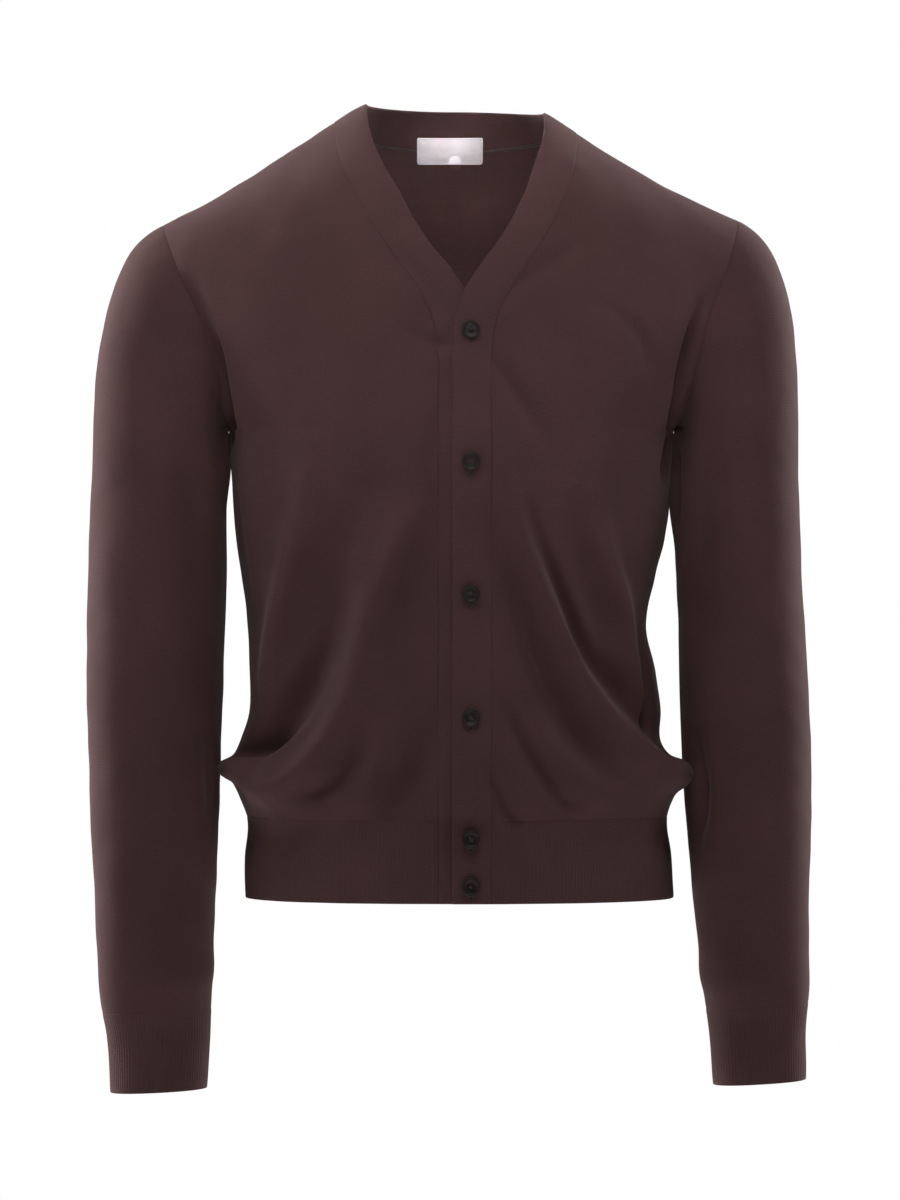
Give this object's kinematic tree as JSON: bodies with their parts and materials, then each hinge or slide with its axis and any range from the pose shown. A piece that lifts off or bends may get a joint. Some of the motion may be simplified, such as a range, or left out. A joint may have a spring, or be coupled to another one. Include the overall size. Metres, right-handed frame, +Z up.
{
  "type": "v-neck cardigan",
  "caption": "Fine-knit V-neck cardigan for an adult's upper body, buttoned up the front, with long set-in sleeves and ribbed hem and cuffs, hollow and open at neck, hem and wrists.",
  "frame": {"origin": "the middle of the wearer's neck, level with the two points where the shoulder seams meet the neckline, under the plane of the shoulder seams", "axes": "+Z up, the buttoned front faces -Y, +X is to the right as seen from the front (the wearer's left)"},
  "size_m": [0.5631, 0.2439, 0.7696],
  "materials": {
    "knit_body": "fine plain knit, dark brown, matte with a soft nap",
    "knit_rib": "fine rib and double knit, dark brown, matte with a soft nap",
    "button": "polished dark brown",
    "label": "pale woven tape"
  },
  "bodies": {
    "root": {"under_front": "knit_body", "over_front": "knit_body", "back_panel": "knit_body", "sleeve_left": "knit_body", "sleeve_right": "knit_body", "hem_rib_under": "knit_rib", "hem_rib_over": "knit_rib", "hem_rib_back": "knit_rib", "button_band": "knit_rib", "buttonhole_band": "knit_rib", "neckband_back": "knit_rib", "cuff_left": "knit_rib", "cuff_right": "knit_rib", "button_1": "button", "button_2": "button", "button_3": "button", "button_4": "button", "button_5": "button", "button_6": "button", "neck_label": "label"}
  },
  "joints": []
}
